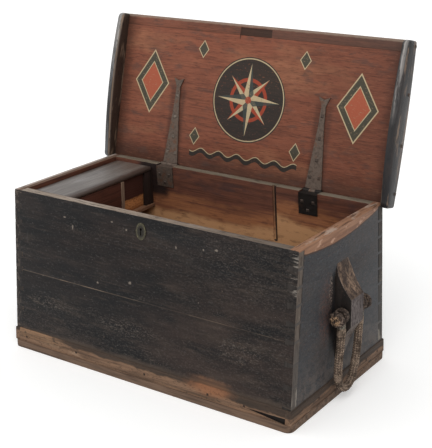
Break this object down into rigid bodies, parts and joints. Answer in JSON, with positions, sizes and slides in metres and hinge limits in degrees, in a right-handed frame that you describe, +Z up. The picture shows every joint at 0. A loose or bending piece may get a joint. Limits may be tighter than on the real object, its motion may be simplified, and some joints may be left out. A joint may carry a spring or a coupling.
{
  "type": "sea chest",
  "caption": "Low wooden sea chest with canted front and back, dovetailed ends, a strap-hinged lid, a lidded till, a lock and a rope becket at each end.",
  "frame": {"origin": "middle of the underside of the bottom boards, on the floor", "axes": "+X along the chest to its right end, +Y to its back, +Z up"},
  "size_m": [0.9984, 0.5826, 0.8678],
  "materials": {
    "painted_front": "worn near-black paint",
    "painted_end": "worn dark blue-grey paint",
    "plinth_wood": "bare, worn",
    "bottom_wood": "bare, worn",
    "lid_wood": "old, dry, with worn paint",
    "cleat_wood": "dark paint worn to brown at the edges",
    "till_lid_wood": "grey-brown, worn",
    "till_wood": "dark red-brown",
    "stile_wood": "bare, light",
    "bay_wood": "bare, orange-brown",
    "block_wood": "grey-brown, worn",
    "iron": "old, dull",
    "lock_iron": "old, dull",
    "nail_iron": "old, dull",
    "plate_metal": "old, dull",
    "rope": "dry, brown-grey"
  },
  "bodies": {
    "chest": {"bottom_plank_front": "bottom_wood", "bottom_plank_back": "bottom_wood", "plinth_front": "plinth_wood", "plinth_back": "plinth_wood", "plinth_left": "plinth_wood", "plinth_right": "plinth_wood", "plinth_nails_front": "nail_iron", "plinth_nails_back": "nail_iron", "plinth_nails_left": "nail_iron", "plinth_nails_right": "nail_iron", "front_upper_board": "painted_front", "front_lower_board": "painted_front", "back_upper_board": "painted_front", "back_lower_board": "painted_front", "end_board_left": "painted_end", "end_board_right": "painted_end", "till_floor": "till_wood", "till_side_front": "till_wood", "till_side_back": "till_wood", "till_stile": "stile_wood", "till_bay_panel": "bay_wood", "key_plate": "plate_metal", "lock_case": "lock_iron", "lock_nails": "nail_iron", "hinge_leaf_left": "iron", "leaf_nails_left": "nail_iron", "hinge_pin_left": "iron", "becket_block_left": "block_wood", "becket_bolt_left": "block_wood", "becket_knots_left": "rope", "block_nails_left": "nail_iron", "hinge_leaf_right": "iron", "leaf_nails_right": "nail_iron", "hinge_pin_right": "iron", "becket_block_right": "block_wood", "becket_bolt_right": "block_wood", "becket_knots_right": "rope", "block_nails_right": "nail_iron"},
    "lid": {"lid_panel": "lid_wood", "lid_front_strip": "lid_wood", "lid_cleat_left": "cleat_wood", "lid_cleat_right": "cleat_wood", "cleat_nails_left": "nail_iron", "cleat_nails_right": "nail_iron", "hinge_strap_left": "iron", "hinge_strap_right": "iron", "strap_nails_left": "nail_iron", "strap_nails_right": "nail_iron"},
    "till_lid": {"till_lid": "till_lid_wood"},
    "lock_bolt": {"lock_bolt": "lock_iron"},
    "becket_left": {"becket_eyes_left": "rope", "becket_rope_left": "rope"},
    "becket_right": {"becket_eyes_right": "rope", "becket_rope_right": "rope"}
  },
  "joints": [
    {"name": "lid_hinge", "type": "hinge", "parent": "chest", "child": "lid", "pos_m": [0, 0.2125, 0.45165], "axis": [1, 0, 0], "range_deg": [0, 103]},
    {"name": "till_lid_hinge", "type": "hinge", "parent": "chest", "child": "till_lid", "pos_m": [-0.416, 0, 0.438], "axis": [0, 1, 0], "range_deg": [-96, 0]},
    {"name": "becket_left_swing", "type": "hinge", "parent": "chest", "child": "becket_left", "pos_m": [-0.477, 0, 0.24], "axis": [0, 1, 0], "range_deg": [-3, 165]},
    {"name": "becket_right_swing", "type": "hinge", "parent": "chest", "child": "becket_right", "pos_m": [0.477, 0, 0.24], "axis": [0, -1, 0], "range_deg": [-3, 165]},
    {"name": "lock_bolt_slide", "type": "slide", "parent": "chest", "child": "lock_bolt", "axis": [1, 0, 0], "range_m": [0, 0.008]}
  ]
}
